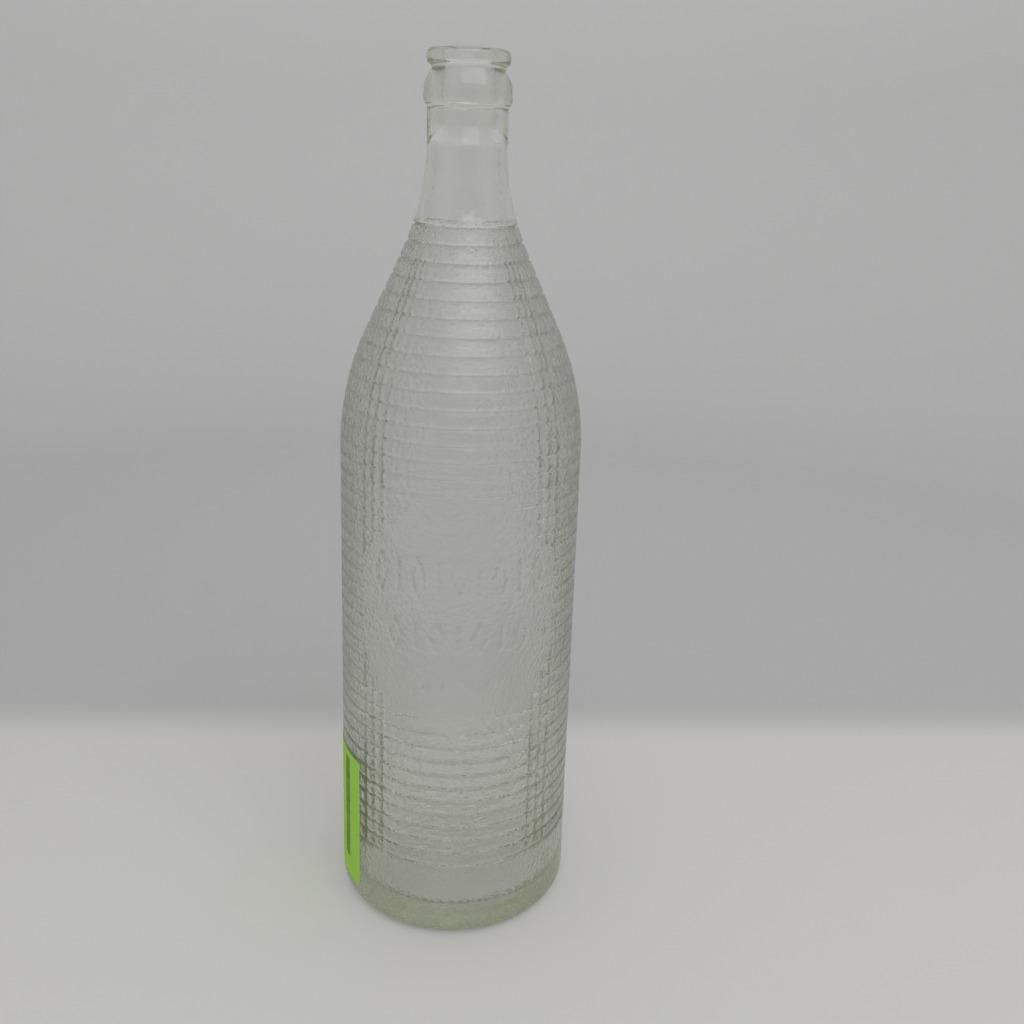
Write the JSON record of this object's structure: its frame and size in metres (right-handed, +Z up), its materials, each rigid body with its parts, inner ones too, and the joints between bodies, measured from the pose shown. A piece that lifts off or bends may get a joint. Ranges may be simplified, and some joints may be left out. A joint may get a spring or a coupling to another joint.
{
  "type": "glass soda bottle",
  "caption": "Tall ribbed clear glass soda bottle with a crown-cork mouth, smooth ornamented panels, and a paper price label on its side.",
  "frame": {"origin": "centre of the ring that the bottle stands on, at floor height", "axes": "+Z up along the bottle's axis to the mouth; the middle of the front panel faces -Y; +X is to the right seen from the front"},
  "size_m": [0.088, 0.0878, 0.3044],
  "materials": {
    "clear_glass": "nearly clear pressed glass with a faint grey-green tint, fire-polished at the mouth and lightly pebbled on the ribs",
    "label_paper": "matte bright yellow-green printed paper with a row of plain dark bars"
  },
  "bodies": {
    "root": {"bottle_glass": "clear_glass", "price_label": "label_paper"}
  },
  "joints": []
}
